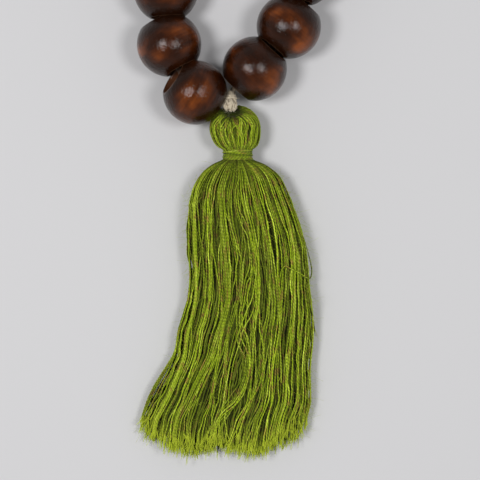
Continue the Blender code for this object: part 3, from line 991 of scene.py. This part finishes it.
def add_frayed_end(strands, path, radius, plies):
    """The yarn's plies, let go over its last few millimetres."""
    step = np.linalg.norm(path[-1] - path[-2])
    root = path[-max(3, int(0.0036 / step))]
    forward = unit(path[-1] - root)
    for _ in range(plies):
        aside = rng.normal(0, 0.00040, 3) * (1.0, 0.4, 0.7)
        reach = rng.uniform(0.0026, 0.0052)
        s = np.linspace(0, 1, 6)[:, None]
        ply = root + forward * reach * s + aside * s**1.4 * 1.7
        ply[:, 2] = np.maximum(ply[:, 2], 0.0002)
        sizes = radius * np.linspace(0.58, 0.30, 6)
        grid, _, _, along = sweep(ply, (0.0, 0.0, 1.0), sizes, sides=4, depth=0.0)
        # Painted shade: the plies are darker (0.72) where they leave the yarn, full at their ends.
        strands.add(grid, along, None, np.linspace(0.72, 1.0, 6), np.linspace(0.45, 0.95, 6))


def make_skirt(yarns, dark):
    groups = [Strands() for _ in range(TONES)]
    for layer, (count, reach, sinking, shade) in enumerate(SKIRT_LAYERS):
        loose = 1.0 if layer == 0 else 0.4
        all_locks = [
            make_locks(BIG_LOCKS, 0.078 * loose, 0.17 * loose, 0.014 * loose),
            make_locks(SMALL_LOCKS, 0.036 * loose, 0.30 * loose, 0.008 * loose),
        ]
        for k, turn in enumerate(rng.permutation(even_turns(count))):
            sunk = sinking * rng.uniform() ** 1.3
            path, depth = skirt_path(turn + rng.normal(0, 0.012), reach - sunk, all_locks)
            add_skirt_yarn(groups[k % TONES], path, depth, shade, layer == 0)
    for k in range(CROSSING_LOCKS):
        crossing_lock(groups[k % TONES])
    for k in range(END_YARNS):
        turn, reach = rng.uniform(0, TURN), 0.86 * math.sqrt(rng.uniform())
        distance = np.linspace(0.084, end_distance(turn, reach), 16)
        path, depth = on_skirt(distance, np.full(16, turn), np.full(16, reach))
        add_skirt_yarn(groups[k % TONES], path, depth, 0.5, False)
    bulges = ((math.pi, 0.088, 0.085), (math.pi, 0.060, 0.05), (0.0, 0.070, 0.05))
    for strands, (side, middle, swell) in zip(groups[7:], bulges):
        bulging_lock(strands, side, middle, swell)
    for path in stray_paths():
        add_skirt_yarn(groups[5], path, np.ones(len(path)), 1.0, True)
    for number, (strands, yarn) in enumerate(zip(groups, yarns), 1):
        finish_skirt_piece(strands.build(f"skirt_yarns_{number}", yarn))
    finish_skirt_piece(skirt_core().build("skirt_core", dark))


def bulging_lock(strands, side, middle, swell):
    """Yarns at the left (math.pi) or right (0) edge that bow out past the others, at middle."""
    for aside in np.linspace(-1, 1, 7):
        turn = side - 0.10 * math.cos(side) * aside
        distance = np.linspace(SKIRT_START, end_distance(turn, 1.0), SKIRT_POINTS)
        bow = swell * np.exp(-(((distance - middle) / 0.013) ** 2)) * (1 - 0.25 * aside**2)
        turns = turn + 0.012 * slow_wave(distance, 0.010, 0.030)
        path, depth = on_skirt(distance, turns, 0.975 + bow * rng.uniform(0.8, 1.1))
        add_skirt_yarn(strands, path, depth, 1.0, True)


def stray_paths():
    """Two yarns that have slipped out on the right: a loop, and a loose end lower down.

    Their points are (x, y, height above the skirt's surface).
    """
    loop = [
        (0.0282, -0.0560, 0.0004),
        (0.0300, -0.0620, 0.0004),
        (0.0311, -0.0660, 0.0000),
        (0.0315, -0.0695, 0.0000),
        (0.0308, -0.0718, 0.0006),
        (0.0293, -0.0716, 0.0009),
        (0.0268, -0.0700, 0.0009),
        (0.0235, -0.0683, 0.0008),
        (0.0206, -0.0672, 0.0006),
        (0.0190, -0.0710, 0.0004),
        (0.0186, -0.0800, 0.0002),
        (0.0190, -0.0950, 0.0000),
        (0.0196, -0.1120, 0.0000),
    ]
    loose_end = [
        (0.0296, -0.0740, 0.0004),
        (0.0310, -0.0820, 0.0000),
        (0.0322, -0.0890, -0.0020),
        (0.0330, -0.0940, -0.0045),
    ]
    paths = []
    for points in (loop, loose_end):
        path = resample(smooth_curve(KNOT + np.array(points)), YARN_STEP)
        path[:, 2] += surface_height(path)
        paths.append(path)
    return paths


def surface_height(path):
    """How high the skirt's upper surface is under each point, or its widest part beside it."""
    distance = KNOT[1] - SKIRT_TOP - path[:, 1]
    left, right, _, _ = section_at(distance)
    across = np.clip((path[:, 0] - KNOT[0] - (left + right) / 2) / ((right - left) / 2), -1, 1)
    turn = np.arccos(signed_power(across, 1 / FULLNESS))
    return in_section(distance, turn, np.ones(len(path)))[:, 2] + YARN_RADIUS


def skirt_core():
    """The mass of yarns inside, which the outer ones lie on, painted near black in streaks: painted
    shade.
    """
    strands = Strands()
    sides = 72
    distance = np.arange(-0.003, 0.106, 0.002)
    ring = TURN * np.arange(sides) / sides
    reach = 0.80 + 0.02 * np.cos(ring * 24)
    grid = np.stack([in_section(np.full(sides, d), ring, reach) for d in distance])[:, ::-1]
    grid[..., 2] = np.maximum(grid[..., 2], 0.0006)
    # Painted shade: the core is painted near black, in streaks, for the shade among the inner yarns.
    shade_streaks = np.broadcast_to(rng.uniform(0.04, 0.18, sides), grid.shape[:2])
    strands.add(grid, distance + 0.003, 0.5, shade_streaks)
    return strands


def finish_skirt_piece(obj):
    """Hides the model's skirt when the first skirt piece is built, and bakes each piece's place into
    its mesh.
    """
    if obj.name == "skirt_yarns_1":
        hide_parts("tassel_skirt")
    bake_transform(obj)


def make_fuzz(yarn):
    """Fine fibres that stand off the skirt."""
    strands = Strands()
    for _ in range(FUZZ_FIBRES):
        distance = rng.uniform(0.001, 0.108)
        turn = rng.uniform(-0.35, math.pi + 0.35)
        root = in_section(np.array([distance]), np.array([turn]), np.array([0.98]))[0]
        side = np.sign(math.cos(turn)) if abs(math.cos(turn)) > 0.5 else rng.choice([-1, 1])
        away = unit(np.array((side * rng.uniform(0.2, 1), rng.normal(0, 0.5), rng.uniform(0, 0.8))))
        bend = unit(rng.normal(size=3) - (0, 0.6, 0))
        s = np.linspace(0, 1, 6)[:, None]
        size = rng.uniform(0.0012, 0.0042)
        hair = root + away * size * s + bend * size * 0.6 * s**2
        add_fibre(strands, hair, np.cross(away, bend), FUZZ_RADIUS, 0.8, 0.3)
    finish_skirt_piece(strands.build("skirt_fuzz", yarn))


# ---------------------------------------------------------------- everything


def main():
    make_camera()
    make_studio()
    wood, cotton = make_wood(), make_cotton()
    shades = np.linspace(0.94, 1.44, TONES)
    yarns = [make_yarn(f"green_yarn_{k + 1}", float(shade)) for k, shade in enumerate(shades)]
    # The inside yarn is a darker copy of the yarn: painted shade for the yarns within the tassel.
    dark = make_yarn("green_yarn_inside", 0.8)
    make_beads(wood)
    make_cord(cotton)
    make_knot(cotton)
    for node in ("hanger_cord", "stopper_knot"):
        data = frame["nodes"][node].data
        data.materials.clear()
        data.materials.append(cotton)
    make_head(yarns[3], dark)
    make_neck(yarns[5], dark)
    make_skirt(yarns, dark)
    make_fuzz(yarns[6])


main()
